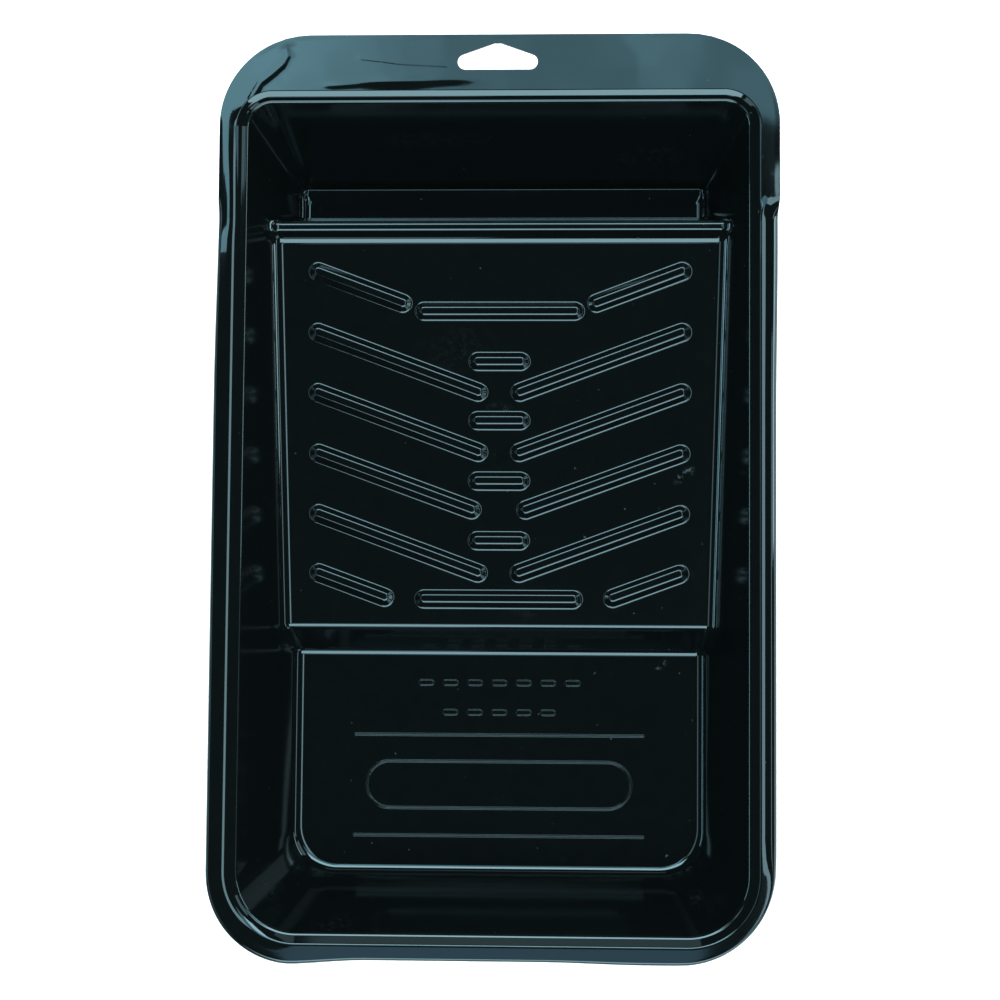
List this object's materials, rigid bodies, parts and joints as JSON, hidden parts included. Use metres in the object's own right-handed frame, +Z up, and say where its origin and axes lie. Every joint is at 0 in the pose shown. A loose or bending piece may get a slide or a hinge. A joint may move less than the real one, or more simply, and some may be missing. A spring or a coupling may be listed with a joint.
{
  "type": "paint roller tray",
  "caption": "Black formed plastic paint roller tray: deep well, sloping ribbed ramp, raised ridge, rear foot, and a flat flange with a hang hole.",
  "frame": {"origin": "centre of the bounding box in plan, on the surface that the feet stand on", "axes": "+X across the tray, to the right when the hang flange is far away; +Y along the tray towards the hang flange; +Z up"},
  "size_m": [0.2236, 0.368, 0.051],
  "materials": {
    "black_plastic": "near-black high-impact polystyrene sheet, glossy on both faces, with fine draw lines, scuffs and a matte trimmed edge"
  },
  "bodies": {
    "root": {"hang_flange": "black_plastic", "left_flange": "black_plastic", "right_flange": "black_plastic", "rear_shoulder": "black_plastic", "left_rim": "black_plastic", "right_rim": "black_plastic", "front_rim": "black_plastic", "left_rim_corner": "black_plastic", "right_rim_corner": "black_plastic", "back_wall": "black_plastic", "left_wall": "black_plastic", "right_wall": "black_plastic", "front_wall": "black_plastic", "rear_left_corner": "black_plastic", "rear_right_corner": "black_plastic", "front_left_corner": "black_plastic", "front_right_corner": "black_plastic", "rear_foot": "black_plastic", "ridge_wall": "black_plastic", "ridge": "black_plastic", "ramp": "black_plastic", "well_step": "black_plastic", "well_floor": "black_plastic"}
  },
  "joints": []
}
